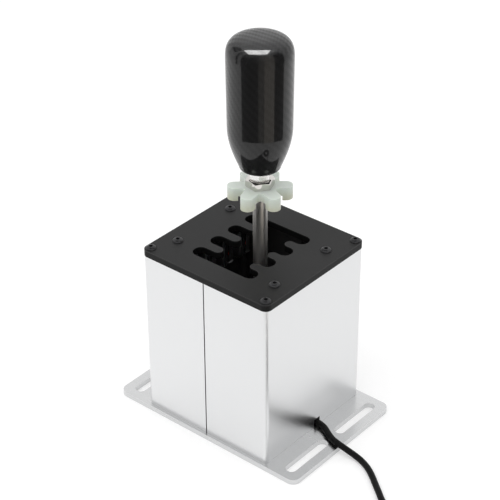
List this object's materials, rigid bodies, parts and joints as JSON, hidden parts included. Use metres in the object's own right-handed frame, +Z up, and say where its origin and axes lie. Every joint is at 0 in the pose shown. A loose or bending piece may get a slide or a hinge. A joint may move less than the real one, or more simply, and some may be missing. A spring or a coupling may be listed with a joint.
{
  "type": "H-pattern gear shifter",
  "caption": "H-pattern gear shifter for a driving rig: split aluminium housing on a slotted base, black gate plate, sprung sliding lever with star wheel and carbon grip, cable.",
  "frame": {"origin": "middle of the base plate's underside", "axes": "+Z up along the upright lever, +Y away from the driver towards the cable side, +X to the driver's right across the gate"},
  "size_m": [0.1753, 0.293, 0.2863],
  "materials": {
    "satin_aluminium": "satin anodised",
    "black_gate": "satin black",
    "black_screw": "black oxide",
    "bright_screw": "zinc plated",
    "polished_rod": "polished",
    "machined_steel": "turned",
    "bearing_bronze": "turned",
    "spring_wire": "drawn",
    "white_nylon": "moulded",
    "carbon_weave": "clear coated",
    "switch_case": "moulded",
    "red_plunger": "moulded",
    "terminal_brass": "stamped",
    "board_green": "solder mask",
    "ivory_plastic": "moulded",
    "cable_sheath": "smooth",
    "plug_metal": "stamped"
  },
  "bodies": {
    "housing": {"base_plate": "satin_aluminium", "housing_rear": "satin_aluminium", "housing_front": "satin_aluminium", "rear_switch_rail": "satin_aluminium", "front_switch_rail": "satin_aluminium", "left_pivot_block": "satin_aluminium", "right_pivot_block": "satin_aluminium", "gate_plate": "black_gate", "gate_corner_screws": "black_screw", "rail_screws": "black_screw", "shaft_set_screws": "black_screw", "base_screws": "bright_screw", "switch_screws": "bright_screw", "block_screws": "bright_screw", "board_screws": "bright_screw", "clamp_screw": "bright_screw", "cross_shaft": "polished_rod", "left_spring": "spring_wire", "right_spring": "spring_wire", "rear_switches": "switch_case", "front_switches": "switch_case", "board_parts": "switch_case", "cable_clamp": "switch_case", "switch_plungers": "red_plunger", "switch_terminals": "terminal_brass", "board_standoffs": "terminal_brass", "controller_board": "board_green", "cable_connector": "ivory_plastic", "rear_loom": "cable_sheath", "front_loom": "cable_sheath", "usb_cable": "cable_sheath", "cable_coil": "cable_sheath", "coil_tie": "cable_sheath", "plug_body": "cable_sheath", "plug_shell": "plug_metal"},
    "carrier": {"slide_sleeve": "bearing_bronze", "thrust_washer": "bearing_bronze"},
    "lever": {"lever_hub": "satin_aluminium", "lever_rod": "polished_rod", "rod_lock_nut": "machined_steel", "knob_insert": "satin_aluminium", "knob": "carbon_weave"},
    "star_nut": {"star_wheel": "white_nylon", "star_hub": "machined_steel"},
    "switch_arm_gear_1": {"arm_gear_1": "spring_wire"},
    "switch_arm_gear_2": {"arm_gear_2": "spring_wire"},
    "switch_arm_gear_3": {"arm_gear_3": "spring_wire"},
    "switch_arm_gear_4": {"arm_gear_4": "spring_wire"},
    "switch_arm_gear_5": {"arm_gear_5": "spring_wire"},
    "switch_arm_gear_6": {"arm_gear_6": "spring_wire"},
    "switch_arm_gear_7": {"arm_gear_7": "spring_wire"},
    "switch_arm_reverse": {"arm_reverse": "spring_wire"}
  },
  "joints": [
    {"name": "select", "type": "slide", "parent": "housing", "child": "carrier", "axis": [1, 0, 0], "range_m": [-0.0182, 0.0364], "stiffness_N_per_m": 800, "deforming": ["left_spring", "right_spring"]},
    {"name": "shift", "type": "hinge", "parent": "carrier", "child": "lever", "pos_m": [-0.0071, 0, 0.03], "axis": [1, 0, 0], "range_deg": [-11.65, 11.65]},
    {"name": "star_turn", "type": "hinge", "parent": "lever", "child": "star_nut", "pos_m": [-0.0071, 0, 0.17275], "axis": [0, 0, 1], "continuous": true},
    {"name": "press_gear_1", "type": "hinge", "parent": "housing", "child": "switch_arm_gear_1", "pos_m": [-0.0253, 0.02715, 0.105], "axis": [-1, 0, 0], "range_deg": [0, 3], "stiffness_Nm_per_rad": 0.02},
    {"name": "press_gear_2", "type": "hinge", "parent": "housing", "child": "switch_arm_gear_2", "pos_m": [-0.0253, -0.02715, 0.105], "axis": [1, 0, 0], "range_deg": [0, 3], "stiffness_Nm_per_rad": 0.02},
    {"name": "press_gear_3", "type": "hinge", "parent": "housing", "child": "switch_arm_gear_3", "pos_m": [-0.0071, 0.02715, 0.105], "axis": [-1, 0, 0], "range_deg": [0, 3], "stiffness_Nm_per_rad": 0.02},
    {"name": "press_gear_4", "type": "hinge", "parent": "housing", "child": "switch_arm_gear_4", "pos_m": [-0.0071, -0.02715, 0.105], "axis": [1, 0, 0], "range_deg": [0, 3], "stiffness_Nm_per_rad": 0.02},
    {"name": "press_gear_5", "type": "hinge", "parent": "housing", "child": "switch_arm_gear_5", "pos_m": [0.0111, 0.02715, 0.105], "axis": [-1, 0, 0], "range_deg": [0, 3], "stiffness_Nm_per_rad": 0.02},
    {"name": "press_gear_6", "type": "hinge", "parent": "housing", "child": "switch_arm_gear_6", "pos_m": [0.0111, -0.02715, 0.105], "axis": [1, 0, 0], "range_deg": [0, 3], "stiffness_Nm_per_rad": 0.02},
    {"name": "press_gear_7", "type": "hinge", "parent": "housing", "child": "switch_arm_gear_7", "pos_m": [0.0293, 0.02715, 0.105], "axis": [-1, 0, 0], "range_deg": [0, 3], "stiffness_Nm_per_rad": 0.02},
    {"name": "press_reverse", "type": "hinge", "parent": "housing", "child": "switch_arm_reverse", "pos_m": [0.0293, -0.02715, 0.105], "axis": [1, 0, 0], "range_deg": [0, 3], "stiffness_Nm_per_rad": 0.02}
  ]
}
